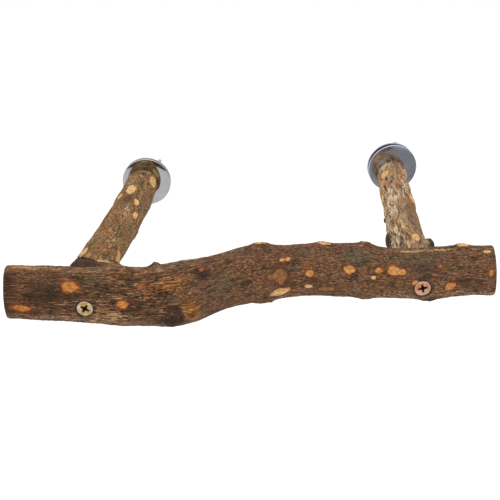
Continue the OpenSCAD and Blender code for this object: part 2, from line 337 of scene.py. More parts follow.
def grain_at(along, radius, rho, a):
    return np.stack([along, radius * rho * np.sin(a), radius * rho * np.cos(a)], -1)


def close_ends(points, rims, middle, rho):
    caps = rho < 0.999
    points[caps] = (middle + (rims - middle) * rho[:, None])[caps]
    return caps


def settle(bm, points, caps):
    for vertex, point in zip(bm.verts, points * MM):
        vertex.co = point
    for face in bm.faces:
        face.material_index = int(sum(caps[v.index] for v in face.verts) >= 2)
    bmesh.ops.recalc_face_normals(bm, faces=bm.faces)


# %% Linking a piece
def link_piece(name, bm, body, nodes, slot, *finishes, sharp=40):
    piece = new_object(name, bm, *finishes)
    mesh = piece.data
    mesh.shade_smooth()
    mesh.set_sharp_from_angle(angle=math.radians(sharp))
    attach(piece, body)
    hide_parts(*nodes)
    print(name, len(mesh.vertices), "points,", sum(len(p.vertices) - 2 for p in mesh.polygons), "triangles")
    return piece


def keep(piece, name, kind, values):
    layer = piece.data.attributes.new(name, kind, "POINT")
    layer.data.foreach_set({"FLOAT": "value", "FLOAT_VECTOR": "vector", "FLOAT_COLOR": "color"}[kind],
                           np.ascontiguousarray(values, np.float32).ravel())


def keep_bark(piece, grain, relief, stains_and_light, hairy=0.3, dim=0, cut=0, cut_tone=0):
    keep(piece, "grain", "FLOAT_VECTOR", grain * MM)
    # relief drives the painted shade in the bark's furrows and the painted light on its ridges
    keep(piece, "relief", "FLOAT", np.clip(relief, 0, 1))
    for name, value in (("hairy", hairy), ("dim", dim), ("cut", cut), ("cut_tone", cut_tone)):
        keep(piece, name, "FLOAT", np.zeros(len(grain)) + value)
    keep(piece, "stain_and_light", "FLOAT_COLOR", stains_and_light)


# %% [markdown]
# ## Cuts and stains
# Side twigs were pared off flush, which leaves pale ovals with a callus ridge round them. Each cut is one row
# of a table: where it lies, its half length and half width, how far it stands out, the height of its ridge,
# how pointed its ends are, how it is turned, and a tone from dull brown over orange to pale. Stains are such
# rows with a colour channel, and lumps are such rows with a height. Some stain rows are painted light:
# painted shadow round the screw heads and in a joint, painted shade along a flank, and painted highlight and
# light along the branch's edges.

# %% Cuts
STEP = 1e-3


def spot(skin, t, a):
    return skin(np.array([t]), np.array([a]))[0]


def pare(points, skin, cuts):
    mask, tone = np.zeros(len(points)), np.zeros(len(points))
    for t, angle, length, width, stand, collar, pointed, turned, shade in cuts:
        a = math.radians(angle)
        centre = spot(skin, t, a)
        along = spot(skin, t + STEP, a) - spot(skin, t - STEP, a)
        across = spot(skin, t, a + STEP) - spot(skin, t, a - STEP)
        along /= np.linalg.norm(along)
        across -= (across @ along) * along
        across /= np.linalg.norm(across)
        out = np.cross(across, along)
        if out @ (centre - spot(skin, t, a + math.pi)) < 0:
            out = -out
        near = np.flatnonzero(np.linalg.norm(points - centre, axis=1) < 3 * max(length, width) + 2)
        gap = points[near] - centre
        x, y, height = gap @ along, gap @ across, gap @ out
        c, s = math.cos(math.radians(turned)), math.sin(math.radians(turned))
        x, y = c * x + s * y, c * y - s * x
        way = np.arctan2(y / width, x / length)
        ragged = 1 + 0.28 * rough(np.c_[np.cos(way), np.sin(way), 0 * x + angle + t], (1.1, 1.1, 1), 3)
        power = 2 - 0.85 * pointed
        far = ((np.abs(x) / length) ** power + (np.abs(y) / width) ** power) ** (1 / power) / ragged
        front = height > -0.6 * min(length, width) - 3
        ridge = collar * hump((far - 1.15) / 0.42)
        inside = gentle(far, 1.05, 0.9) * front
        points[near] += np.outer(((height + ridge) * (1 - inside) + stand * inside - height) * front, out)
        share = np.clip(1 - far / 2, 0, 1) * front
        better = share > mask[near]
        mask[near[better]], tone[near[better]] = share[better], shade
    return mask, tone


# %% Stains, painted light and lumps
def stain_and_light(points, skin, stains_and_light):
    layers = np.zeros((len(points), 4))
    for t, angle, length, width, channel, strength in stains_and_light:
        centre = spot(skin, t, math.radians(angle))
        ahead = spot(skin, t + STEP, math.radians(angle)) - centre
        ahead /= np.linalg.norm(ahead)
        gap = points - centre
        along = gap @ ahead
        across = np.sqrt(np.maximum((gap**2).sum(1) - along**2, 0))
        layer = strength * hump(along / length, across / width)
        layers[:, channel] = np.maximum(layers[:, channel], layer)
    return layers


def lump_height(t, a, long, lumps):
    total = np.zeros(len(t))
    for place, angle, length, degrees, rise in lumps:
        turn = (np.degrees(a) - angle + 180) % 360 - 180
        total += rise * hump((t - place) * long / length, turn / degrees)
    return total


# %% [markdown]
# ## Bark finish
# Bark is layers of dead cork with fine flecks drawn out along the wood, and moss, wear and rusty stains over
# it. Its colour is darkened in the furrows and lightened on the ridges, which is painted shade and light. The
# finish reads the skin's own coordinates, which run along the wood, so the streaks follow every bend. Cut
# faces, their rims, the stains and the painted shade and highlights come from values that the mesh keeps at
# each point.

# %% Stains and painted light on bark
# Dark stain colour, also used for the painted shade rows of the dark channel
SOOT_AND_SHADE = (33, 25, 22)


def with_stains_and_painted_light(tree, colour, both, strands, pale, moss, dark):
    layers = join("SeparateColor", {"Color": kept(tree, "stain_and_light", "Color")}).outputs
    ragged = part_of(both, 0.42, 0.58, -0.4, 0.4)
    coats = []
    for layer, tone, depth in ((layers[0], pale, 0.9), (layers[1], moss, 0.75), (layers[2], SOOT_AND_SHADE, 0.9)):
        duller = tuple((one + other) / 2 for one, other in zip(paint(tone), paint(dark)))
        coats.append((layer, mixed(part_of(strands, 0.38, 0.58), duller, tone), 0.75, depth))
    rust = ramp(strands, (0.36, (62, 37, 23)), (0.46, (106, 64, 32)), (0.54, (138, 87, 41)),
                (0.64, (194, 136, 70)))
    coats.append((kept(tree, "stain_and_light", "Alpha"), rust, 0.8, 0.8))
    for layer, coat, full, depth in coats:
        share = part_of(plus(layer, ragged), 0.25, full, 0, depth)
        share = times(share, part_of(layer, 0.02, 0.25))
        colour = mixed(share, colour, coat)
    return colour


# %% Pared faces
def pared(tree, colour, grain):
    cut, cut_tone = kept(tree, "cut"), kept(tree, "cut_tone")
    fibres = speckle(grain, (3, 0.8, 0.8), 3, 0.65)
    upright = speckle(grain, (0.7, 4, 4), 3, 0.6)
    patches = speckle(grain, (2, 1.6, 1.6), 3, 0.6, 0, (1, 8, 3))
    edge = plus(cut, part_of(fibres, 0.3, 0.7, -0.03, 0.03))
    halo = times(part_of(edge, 0.25, 0.44), part_of(cut_tone, 0.04, 0.2, 0.3, 0.95))
    halo = times(halo, part_of(cut_tone, 0.99, 0.8, 0.4, 1))
    colour = mixed(halo, colour, ramp(patches, (0.42, (64, 34, 22)), (0.55, (128, 66, 34))))
    face = ramp(cut_tone, (0, (142, 104, 70)), (0.33, (140, 94, 66)), (0.66, (188, 131, 68)),
                (1, (213, 185, 136)))
    deeper = mixed(1, face, (208, 176, 140), "MULTIPLY")
    plain = part_of(cut_tone, 0.12, 0.06)
    fibres = mixed(plain, fibres, upright)
    for layer in (fibres, patches):
        face = mixed(part_of(layer, 0.4, 0.56, 0.75, 0), face, deeper)
    face = mixed(part_of(edge, 0.64, 0.5, 0, 0.9), face, mixed(plain, deeper, (78, 52, 36)))
    pith = times(part_of(cut, 0.9, 0.96), part_of(cut_tone, 0.8, 0.95, 0, 0.7))
    face = mixed(pith, face, (150, 104, 62))
    is_face = part_of(edge, 0.46, 0.52)
    return mixed(is_face, colour, face), is_face


# %% Bark finish
def bark_finish(name, tones, hues, tints, streak, fleck, crack, lift, pale, moss, straw, contrast, deep):
    finish, tree, shader = start_finish(name, Specular_IOR_Level=0.18)
    grain, hairy = kept(tree, "grain", "Vector"), kept(tree, "hairy")
    dark, mid, light = tones
    streaks = speckle(grain, streak, 4, 0.66, 0.4)
    flecks = speckle(grain, fleck, 3, 0.7)
    strands = speckle(grain, (7, 0.75, 0.75), 4, 0.68, 0.5, (2, 6, 1))
    drawn = times(sums("SUBTRACT", strands, flecks), times(hairy, 0.42))
    both = plus(times(plus(streaks, flecks), 0.5), drawn)
    spread = 0.05 / contrast
    colour = ramp(both, (0.5 - 2.2 * spread, dark), (0.5 - 0.4 * spread, mid), (0.5 + spread, light),
                  (0.5 + 2.4 * spread, straw))
    hue = speckle(grain, [size * 1.4 for size in streak], 4, 0.7, 0, (9, 4, 7))
    hue = ramp(hue, (0.4, hues[0]), (0.47, 1), (0.53, hues[1]), (0.6, hues[2]))
    colour = mixed(0.9, colour, hue, "MULTIPLY")
    clouds = speckle(grain, (11, 5, 5), 3, 0.6)
    tint = ramp(clouds, (0.36, tints[0]), (0.45, 1), (0.54, tints[1]), (0.64, tints[2]))
    colour = mixed(0.85, colour, tint, "MULTIPLY")
    # Painted shade in the furrows and painted light on the ridges: the colour follows the mesh's relief
    shade = ramp(kept(tree, "relief"), (0, 0.5), (0.35, 0.86), (0.6, 1), (1, 1.25))
    colour = mixed(1, colour, shade, "MULTIPLY")
    colour = mixed(kept(tree, "dim"), colour, (198, 186, 172), "MULTIPLY")
    needles = speckle(grain, (streak[0] * 3.2, 0.55, 0.55), 3, 0.65, 0.7, (5, 2, 8))
    shown = times(part_of(needles, 0.565, 0.63), hairy)
    shown = times(shown, part_of(clouds, 0.36, 0.54, 0.2, 0.9))
    colour = mixed(shown, colour, straw)
    wander = {"Vector": stretched(grain, crack, (3, 1, 4)), "Scale": 1.3, "Detail": 3}
    wander = join("TexNoise", wander).outputs["Color"]
    bent = {0: wander, 1: (0.7, 0.7, 0.7), 2: stretched(grain, crack)}
    bent = join("VectorMath", bent, operation="MULTIPLY_ADD").outputs[0]
    gap = join("TexVoronoi", {"Vector": bent, "Scale": 1}, feature="DISTANCE_TO_EDGE").outputs["Distance"]
    gap = times(part_of(gap, 0.11, 0.02), part_of(clouds, 0.38, 0.56, 0.9, 0.2))
    colour = mixed(times(gap, deep), colour, paint(dark, 0.4))
    colour = with_stains_and_painted_light(tree, colour, both, strands, pale, moss, dark)
    colour, is_face = pared(tree, colour, grain)
    height = sums("SUBTRACT", plus(both, times(shown, 0.3)), gap)
    height = times(height, part_of(is_face, 0, 1, 1, 0.25))
    plug(shader, Base_Color=colour, Roughness=part_of(streaks, 0.3, 0.7, 0.95, 0.75),
         Normal=raised(height, 0.8, lift))
    return finish


branch_bark = bark_finish(
    "branch_bark",
    tones=((49, 37, 30), (96, 72, 54), (129, 100, 76)),
    hues=((206, 204, 232), (255, 226, 204), (224, 228, 188)),
    tints=((190, 196, 170), (255, 232, 212), (200, 184, 200)),
    streak=(2.4, 0.9, 0.9), fleck=(1.2, 0.7, 0.7), crack=(6, 1.8, 1.8), lift=0.35,
    pale=(192, 154, 106), moss=(94, 87, 64), straw=(184, 148, 108), contrast=0.95, deep=0.45)
print("branch bark of", len(branch_bark.node_tree.nodes), "nodes")

# %% [markdown]
# ## Sawn ends
# The ends were sawn across, so they show rings round a dark pith, a few radial checks and a thin rim of bark.
# The skin's own coordinates give the distance from the pith, so the rings follow the wood's outline.

# %% Sawn finish
RINGS = 9


def sawn_finish(name, radius, early, late):
    finish, tree, shader = start_finish(name, Specular_IOR_Level=0.2, Roughness=0.8)
    grain = kept(tree, "grain", "Vector")
    split = join("SeparateXYZ", {"Vector": grain}).outputs
    flat = join("CombineXYZ", {"Y": split["Y"], "Z": split["Z"]}).outputs[0]
    far = join("VectorMath", {0: flat}, operation="LENGTH").outputs["Value"]
    share = sums("DIVIDE", far, radius * MM)
    bent = plus(share, part_of(speckle(flat, (9, 9, 9)), 0.3, 0.7, -0.04, 0.04))
    rings = sums("SINE", times(bent, math.tau * RINGS))
    colour = ramp(part_of(rings, -1, 1), (0.1, late), (0.75, early))
    turn = times(sums("ARCTAN2", split["Y"], split["Z"]), 9)
    spokes = mottle(join("CombineXYZ", {"X": turn, "Y": times(share, 1.2)}).outputs[0], 2)
    check = times(part_of(spokes, 0.36, 0.31), part_of(share, 0.1, 0.4))
    colour = mixed(times(check, 0.7), colour, (96, 66, 42))
    saw = speckle(grain, (1, 14, 0.5), 2)
    colour = mixed(part_of(saw, 0.45, 0.7, 0, 0.3), colour, late)
    for inner, outer, tone in ((0.07, 0.04, (92, 60, 38)), (0.88, 0.91, (70, 46, 32))):
        colour = mixed(part_of(bent, inner, outer), colour, tone)
    plug(shader, Base_Color=colour, Normal=raised(sums("SUBTRACT", saw, check), 0.6, 0.25))
    return finish


BRANCH_LEN, BRANCH_D = 306, 33
branch_sawn = sawn_finish("branch_sawn", BRANCH_D / 2, (214, 180, 132), (176, 136, 90))

# %% [markdown]
# ## Main branch
# The bird stands on this branch. Its bark is finely wrinkled, with a burl at the bend, pared twigs and worn
# strips, and its ends are sawn slightly askew. Real relief makes the outline and the shade, and the finish
# adds what is finer.

# %% Main branch shape
BRANCH_SHIFT, BRANCH_REACH, BRANCH_DROP = 19.5, 165, 9
LEFT_ARM_X, RIGHT_ARM_X = -123.2, 86.4


def branch_axis(t):
    return np.stack([(t - 0.5) * BRANCH_LEN - BRANCH_SHIFT,
                     BRANCH_D * smooth_table(BRANCH_BOW, t) - BRANCH_REACH,
                     BRANCH_D * smooth_table(BRANCH_RISE, t) - BRANCH_DROP], -1)


def branch_radius(t):
    return BRANCH_D / 2 * smooth_table(BRANCH_RADIUS, t)


def branch_skin(t, a, more=0):
    r = branch_radius(t) + more
    return branch_axis(t) + np.stack([0 * r, r * np.sin(a), r * np.cos(a)], -1)


def share_at(x):
    return (x + BRANCH_SHIFT) / BRANCH_LEN + 0.5


BRANCH_CUTS = (
    # place, angle, half length, half width, stand, ridge, pointed, turned, tone
    (0.133, -43.5, 5.8, 3.4, 0.1, 0.4, 0.3, -6, 0.6), (0.036, -93.5, 6.2, 2.5, 0.1, 0.5, 0.3, -4, 0.64),
    (0.239, -76, 3.6, 2.5, 0.3, 0.4, 0.2, 10, 0.66), (0.278, -41, 3.2, 2.1, 0.5, 0.4, 0, 0, 0.3),
    (0.557, -71, 4.7, 5.4, -0.7, 0.7, 0.2, 0, 0.03), (0.538, -71, 3.4, 2.2, -0.3, 0.2, 0.6, 0, 0),
    (0.562, -36, 1.5, 1.3, 0.3, 0.3, 0, 0, 0.8), (0.573, -35, 1.6, 1.4, 0.3, 0.3, 0, 0, 0.74),
    (0.554, -108.5, 6.8, 3.3, 0.3, 0.3, 0.6, 22, 0.9), (0.614, -69.5, 2.6, 1.9, 0.2, 0.5, 0, 0, 0.74),
    (0.612, -99.5, 2.7, 1.2, 0.2, 0.3, 0.3, 0, 0.97), (0.648, -108, 5.6, 2.1, 0.2, 0.3, 0.2, 0, 0.05),
    (0.401, -28, 1.8, 1.2, 1.3, 0.7, 0.4, -20, 0.36), (0.693, -61, 3.9, 2.5, 0.3, 0.6, 0.4, -8, 0.74),
    (0.751, -60, 2.5, 1.7, 0.2, 0.4, 0, 0, 0.7), (0.74, -76, 1.8, 1.2, 0.2, 0.3, 0, 0, 0.9),
    (0.782, -58, 4.4, 3.2, 0.3, 0.5, 0, 0, 0.76), (0.799, -60, 2.5, 1.9, 0.4, 0.3, 0, 0, 0.76),
    (0.825, -83.5, 1.9, 1.6, 0.2, 0.3, 0, 0, 0.72), (0.898, -94, 3.3, 2.7, 0.2, 0.5, 0.1, 15, 0.72),
    (0.878, -47, 1.3, 1, 0.4, 0.3, 0, 0, 0.5), (0.985, -66, 1.9, 2.2, 0.2, 0.3, 0, 0, 0.64),
    (0.981, -13, 2.8, 1.5, 0.1, 0.3, 0.3, 0, 0.95), (0.519, 11, 4.6, 2, 2, 0.4, 0.4, 0, 0.93),
    (0.648, 4, 4.2, 2.2, 1.8, 0.4, 0.4, -6, 0.93), (0.735, 14, 2.4, 1.6, 2.2, 0.4, 0.3, 0, 0.85),
    (0.933, 5, 3.6, 2.4, 2.2, 0.6, 0.2, -6, 0.97), (0.522, -152, 4, 2, 1.9, 0.6, 0.3, 0, 0.98),
    (0.08, 95, 4.8, 3.4, 0.6, 0.7, 0, 0, 0.66), (0.33, 120, 5.2, 3.6, 0.5, 0.8, 0, 0, 0.6),
    (0.47, 70, 3.6, 2.8, 0.4, 0.6, 0, 0, 0.7), (0.6, 100, 4.6, 3.2, 0.5, 0.6, 0, 0, 0.75),
    (0.71, 130, 3.4, 2.4, 0.3, 0.5, 0, 0, 0.66), (0.93, 80, 4, 3, 0.5, 0.6, 0, 0, 0.7),
    (0.42, 170, 4.4, 3, 0.4, 0.6, 0, 0, 0.5), (0.2, 175, 3.8, 2.6, 0.4, 0.5, 0, 0, 0.66),
    (0.82, 165, 4.2, 2.8, 0.4, 0.5, 0, 0, 0.72),
)
BRANCH_LUMPS = (
    # place, angle, half length, half width in degrees, height
    (0.524, 8, 7.5, 20, 1.9), (0.646, 8, 7, 20, 1.7), (0.735, 8, 5.6, 18, 1.9), (0.934, 6, 6.4, 22, 2),
    (0.301, 16, 3, 12, 2.4), (0.304, 2, 3, 10, 0.9), (0.528, -154, 7, 20, 1.5), (0.729, -153, 4.6, 18, 1.2),
    (0.862, -150, 6.4, 20, 1.8), (0.377, -97, 4.2, 22, 3.3), (0.215, 30, 3.6, 26, 3.2),
    (0.244, 2, 2, 12, 0.9), (0.262, -2, 2.2, 12, 0.8), (0.285, 4, 1.8, 10, 0.6), (0.409, -125, 5, 22, -1.3),
    (0.335, -120, 5, 16, 1), (0.235, 6, 7, 16, 0.8), (0.27, 4, 4, 14, 0.7), (0.36, 14, 9, 16, 0.6),
    (0.545, -64, 7, 14, 0.5), (0.13, -52, 9, 14, 0.4),
)
BRANCH_STAINS_AND_LIGHT = (
    # place, angle, half length, half width, channel (pale, moss, dark, rust), strength
    # The rows at 0.832, 0.89 and 0.935 are a painted highlight along the top edge near the right arm's foot
    (0.05, 6, 17, 2.6, 0, 0.9), (0.832, -3, 11, 1.3, 0, 1.2), (0.89, -3, 15, 1.2, 0, 1.1),
    (0.935, -4, 8, 1.4, 0, 0.7), (0.37, 18, 12, 2.6, 0, 0.8), (0.21, -102, 12, 5, 0, 0.7),
    # The row at 0.87 and -122 degrees is painted light along the lower edge of the branch's right half
    (0.87, -122, 55, 7, 0, 0.32), (0.13, -120, 40, 3, 0, 0.3), (0.43, -67, 14, 10, 1, 0.5),
    (0.706, -35, 9, 6, 1, 0.8), (0.838, -35, 16, 7, 1, 0.6), (0.6, -20, 9, 5, 1, 0.5),
    (0.19, -30, 9, 5, 1, 0.4), (0.11, -40, 6, 4, 1, 0.6), (0.94, 60, 20, 14, 1, 0.6),
    (0.45, 120, 24, 14, 1, 0.6), (0.335, -116, 9, 6.5, 2, 1.1), (0.346, -88, 4, 4, 2, 0.8),
    # The rows at 0.161 and 0.842 are painted shadow in the gap round the screw heads
    (0.161, -90, 5.7, 5.7, 2, 1), (0.842, -99, 5.7, 5.7, 2, 1), (0.1, -62, 12, 7, 2, 0.6),
    (0.26, -80, 9, 4, 2, 0.5), (0.01, -60, 4, 16, 2, 0.5), (0.404, -40, 4.5, 3.4, 2, 0.9),
    (0.301, 14, 3.4, 4, 2, 0.8), (0.392, -26, 3, 2.4, 2, 0.5), (0.84, -50, 6, 5, 2, 0.4),
    (0.93, -92, 5, 4, 2, 0.3), (0.165, -84, 7, 6, 2, 0.45), (0.04, -104, 10, 1.5, 2, 0.9),
    (0.25, -20, 8, 4, 2, 0.6), (0.375, -96, 4.4, 6.2, 3, 2.8), (0.363, -96, 1.2, 4.5, 0, 1.1),
    (0.556, -72, 8, 9, 2, 0.42), (0.862, -142, 6, 5, 2, 0.7), (0.34, -42, 12, 5, 3, 0.9),
    (0.3, -52, 9, 5, 3, 0.4), (0.06, 2, 20, 5, 3, 0.5), (0.62, -45, 12, 4, 3, 0.3),
    (0.88, -47, 5, 4, 3, 0.4), (0.2, -98, 12, 4, 3, 0.4), (0.24, -12, 16, 6, 3, 0.4),
)
print(len(BRANCH_CUTS), "cuts and", len(BRANCH_STAINS_AND_LIGHT), "stains on the branch")

# %% Main branch skin
bm, t, rho, a = barrel(508, 13, 172)
turn = np.degrees(a)
grain = grain_at(t * BRANCH_LEN, BRANCH_D / 2, rho, a)
wrinkles = 1 - 2.2 * np.abs(rough(grain, (8, 1.9, 1.9), 3, 3.7))
plates = gentle(cracks(grain, (7, 2.6, 2.6), 11.2), 0.02, 0.3)
fine = rough(grain, (2.4, 1, 1), 2, 8.1)
lumps = 0.75 * rough(grain, (24, 12, 12), 3, 5.5)
burl = hump((t - 0.377) * BRANCH_LEN / 5.5, (turn + 100) / 34)
cleft_place = 0.357 + 0.012 * rough(grain, (6, 5, 5), 3, 6.6)
cleft = hump((t - cleft_place) * BRANCH_LEN / 1.3) * hump((turn + 106) / 20)
relief = 0.42 * wrinkles + 0.33 * plates + 0.3 * fine
swell = 4.4 * np.exp(-2 * (((t - share_at(LEFT_ARM_X)) * BRANCH_LEN / 20.7) ** 2 + ((turn - 90) / 60) ** 2))
knots = lump_height(t, a, BRANCH_LEN, BRANCH_LUMPS) * (1 + 0.25 * fine)
left_part = gentle(t, 0.37, 0.3)
skin_height = (0.3 + 0.25 * left_part) * relief + swell + lumps + knots
skin_height += burl * (1 + 0.9 * rough(grain, (5, 4, 4), 2, 2.2)) - 1.6 * cleft
points = branch_skin(t, a, skin_height)
caps = close_ends(points, branch_skin(t, a, lumps), branch_axis(t), rho)
cut, cut_tone = pare(points, branch_skin, BRANCH_CUTS)
print("branch relief from", skin_height.min().round(2), "to", skin_height.max().round(2), "mm")

# %% [markdown]
# The saw left eased, slightly slanting ends. Each screw's head sits in a small countersink, and the right arm
# stands in a flat seat bored into the back, so the skin's points that lie in those places are moved onto
# their walls.

# %% Main branch ends and seats
from_left, from_right = t * BRANCH_LEN, (1 - t) * BRANCH_LEN
middle = branch_axis(t)
for gap in (from_left, from_right):
    ease = 1 - 0.022 * (1 - gentle(gap, 0, 1.1)) * ~caps
    points[:, 1:] = middle[:, 1:] + (points[:, 1:] - middle[:, 1:]) * ease[:, None]
depth, rise = points[:, 1] + BRANCH_REACH, points[:, 2] - middle[:, 2]
points[:, 0] += (-0.15 * depth + 0.09 * rise - 1.4) * np.exp(-from_left / 10)
points[:, 0] += (0.2 * depth - 0.06 * rise) * np.exp(-from_right / 10)
HEAD_SUNK, HOLE_RADIUS, DISH_RADIUS = 0.9, 5.35, 11
screw_place = {}
for name, arm_x, x, drop in (("left", LEFT_ARM_X, LEFT_ARM_X, 0), ("right", RIGHT_ARM_X, 85.2, 2.5)):
    place = np.array([share_at(arm_x)])
    centre = branch_axis(place)[0]
    head = centre[1] - math.sqrt(branch_radius(place)[0] ** 2 - drop**2) + HEAD_SUNK
    screw_place[name] = (x, float(head), float(centre[2] - drop))
    far = np.hypot(points[:, 0] - x, points[:, 2] - screw_place[name][2])
    front = points[:, 1] < centre[1]
    dish = (far < DISH_RADIUS) & front
    points[dish, 1] += (head - 0.35 - points[dish, 1]) * (1 - gentle(far[dish], 5.2, DISH_RADIUS)) * 0.95
    hole = (far < HOLE_RADIUS) & front
    points[hole, 1] = head + np.clip((HOLE_RADIUS - far[hole]) * 3, 0, 2.5)
SEAT_DEPTH, SEAT_RADIUS = 4.5, 12.2
seat = np.array([share_at(RIGHT_ARM_X)])
seat_y = branch_axis(seat)[0, 1] + branch_radius(seat)[0] - SEAT_DEPTH
in_seat = np.hypot(points[:, 0] - RIGHT_ARM_X, points[:, 2] - branch_axis(seat)[0, 2]) < SEAT_RADIUS
points[in_seat, 1] = np.minimum(points[in_seat, 1], seat_y - 0.05)
print("screw heads at", {k: tuple(round(c, 2) for c in v) for k, v in screw_place.items()})
print("seat of the right arm at y", round(float(seat_y), 2), "mm")

# %% Main branch piece
settle(bm, points, caps)
piece = link_piece("main_branch_bark", bm, "perch", ["main_branch"], "branch_bark", branch_bark, branch_sawn)
dim = left_part * gentle(np.abs(turn + 60), 62, 36) + (1 - left_part) * 0.25
worn_end = gentle(t, 0.16, 0.07) * gentle(turn, -110, -90)
hairy = (0.25 + 0.75 * left_part) * (1 - 0.6 * worn_end)
keep_bark(piece, grain, 0.5 + 0.5 * relief, stain_and_light(points, branch_skin, BRANCH_STAINS_AND_LIGHT), hairy,
          np.clip(dim + 0.45 * rough(grain, (16, 7, 7), 3, 9.4), 0, 1), cut, cut_tone)

# %% [markdown]
# ## Stub of a side branch
# The left arm stands on the stub of a fork that was sawn off at a slant. It is a barrel of its own that rises
# out of the branch, because one skin can't fork evenly. Its foot flares where it meets the branch, as grown
# wood does.

# %% Stub
LEFT_ROOT, LEFT_END = (LEFT_ARM_X, -131, -7.45), (-107.5, -1.8, -2.4)
STUB_TOP, STUB_FOOT = LEFT_ROOT[1] - 0.4, -164


def left_joint(a, r):
    turn = np.degrees(a)
    ripple = 8 * hump((turn - 105) / 30) - 1.8 * hump((turn - 24) / 14)
    ripple -= hump((turn + 42) / 16)
    ripple += 0.5 * rough(np.stack([np.cos(a), np.sin(a), 0 * a], -1), (0.16, 0.16, 1), 3, 4.2)
    return ripple - r * (1.45 * np.cos(a) + 0.5 * np.sin(a))


def stub_skin(t, a, more=0):
    flare = (4.6 + 2.4 * np.sin(a)) * np.sin(a) ** 2 + 0.6
    r = 13.7 + flare * (1 - gentle(t, 0.5, 1.02)) - 0.5 * gentle(t, 0.955, 1) + more
    top = STUB_TOP + left_joint(a, r)
    z = -12.85 + 5.4 * gentle(t, -0.25, 0.75) + r * np.cos(a)
    return np.stack([LEFT_ARM_X + r * np.sin(a), STUB_FOOT + (top - STUB_FOOT) * t, z], -1)


bm, t, rho, a = barrel(70, 10, 128)
grain = grain_at(stub_skin(t, a)[:, 1] + BRANCH_REACH, 14, rho, a)
smooth_side = hump((np.degrees(a) + 38) / 44)
wrinkles = 1 - 2.2 * np.abs(rough(grain, (7, 1.9, 1.9), 3, 2.2))
relief = (0.4 * wrinkles + 0.35 * rough(grain, (2.4, 1, 1), 2, 3.1)) * (1 - 0.75 * smooth_side)
points = stub_skin(t, a, 0.28 * relief + 0.5 * rough(grain, (16, 9, 9), 2, 1.5))
top, foot = (LEFT_ARM_X, STUB_TOP, LEFT_ROOT[2]), (LEFT_ARM_X, STUB_FOOT, -12.2)
settle(bm, points, close_ends(points, points, np.where(t[:, None] > 0.5, top, foot), rho))
piece = link_piece("left_stub", bm, "perch", ["main_branch"], "branch_bark", branch_bark, branch_sawn)
STUB_STAINS_AND_SHADE = (
    # The row at 0.995 is painted shadow in the joint between the stub's top and the left arm
    (0.8, -46, 16, 12, 2, 0.55), (0.7, 10, 16, 14, 2, 0.4), (0.995, -40, 1.3, 12, 2, 1),
    (0.5, -10, 8, 8, 1, 0.35), (0.7, 60, 12, 9, 3, 0.5),
)
keep_bark(piece, grain, 0.5 + 0.5 * relief, stain_and_light(points, stub_skin, STUB_STAINS_AND_SHADE), 0.2,
          0.4 + 0.6 * smooth_side)

# %% [markdown]
# ## Arms
# Both arms are straight lengths of thinner branches. The left one has fine olive-brown bark, the right one
# pale bark that flakes in slanting plates. They are barrels again, each with its own tables, cuts and bark.

# %% Arm skin
ARM_REACH = 160


def arm_skin(root, end, root_d, end_d, joint, radii, bows):
    def skin(t, a, more=0):
        r = (root_d + (end_d - root_d) * t) / 2 * smooth_table(radii, t) + more
        start = root[1] + joint(a, r)
        return np.stack([root[0] + (end[0] - root[0]) * t + root_d * smooth_table(bows, t) + r * np.sin(a),
                         start + (end[1] - start) * t,
                         root[2] + (end[2] - root[2]) * t + r * np.cos(a)], -1)
    return skin


def arm_barrel(skin, radius):
    bm, t, rho, a = barrel(220, 10, 136)
    return bm, t, rho, a, grain_at(skin(t, a)[:, 1] + ARM_REACH, radius, rho, a)


def arm_piece(side, skin, bm, t, rho, a, grain, height, relief, cuts, strips, stains_and_light, *finishes):
    points = skin(t, a, height)
    middle = (skin(t, 0 * t, height.mean()) + skin(t, 0 * t + math.pi, height.mean())) / 2
    caps = close_ends(points, points, middle, rho)
    cut, cut_tone = pare(points, skin, cuts)
    turn = np.degrees(a)
    for t0, t1, turn0, turn1, shade in strips:
        long_way = np.minimum(t - t0, t1 - t) / (t1 - t0) * 2 + 0.45
        round_way = np.minimum(turn - turn0, turn1 - turn) / 12 + 0.45
        inside = np.clip(np.minimum(np.minimum(long_way, round_way), 0.8), 0, 1) * ~caps
        better = inside > cut
        cut[better], cut_tone[better] = inside[better], shade
    settle(bm, points, caps)
    piece = link_piece(side + "_arm_wood", bm, "perch", [side + "_arm"], side + "_arm_bark", *finishes)
    keep_bark(piece, grain, 0.5 + 0.5 * relief, stain_and_light(points, skin, stains_and_light), 0.4,
              np.clip(0.6 * rough(grain, (14, 6, 6), 3, 2.9), 0, 1), cut, cut_tone)


print("arm tools ready")

# %% Left arm
LEFT_RADII = (1, 1.01, 0.99, 1, 1.02, 0.99, 1.01, 1.02, 0.98, 1)
LEFT_BOWS = (0, 0.02, 0.04, 0.055, 0.06, 0.06, 0.05, 0.04, 0.02, 0)
LEFT_CUTS = (
    (0.722, 4, 7.9, 4, 0.7, 0.8, 0, 0, 1), (0.942, 62, 7.8, 3.8, 0.5, 0.7, 0.1, -3, 1),
    (0.608, 38, 4.6, 2.4, 0.5, 0.5, 0.4, -10, 1), (0.478, 54, 4.9, 2.3, 0.4, 0.5, 0, 9, 1),
    (0.659, -27, 5.4, 2.4, 0.3, 0.3, 0.3, 0, 0.97), (0.035, -29, 7.6, 3.6, 0.2, 0.5, 0.3, 0, 0.98),
    (0.035, 80, 5.4, 5, 0.2, 0.5, 0.3, 0, 1), (0.928, 13, 1.4, 0.9, 0.2, 0.2, 0, 0, 1),
    (0.3, -120, 4, 3, 0.5, 0.6, 0, 0, 0.9), (0.8, 150, 4.4, 3.2, 0.5, 0.7, 0, 0, 1),
    (0.5, -160, 3.6, 2.8, 0.4, 0.5, 0, 0, 0.85), (0.35, 120, 3.2, 2.4, 0.4, 0.5, 0, 0, 0.95),
)
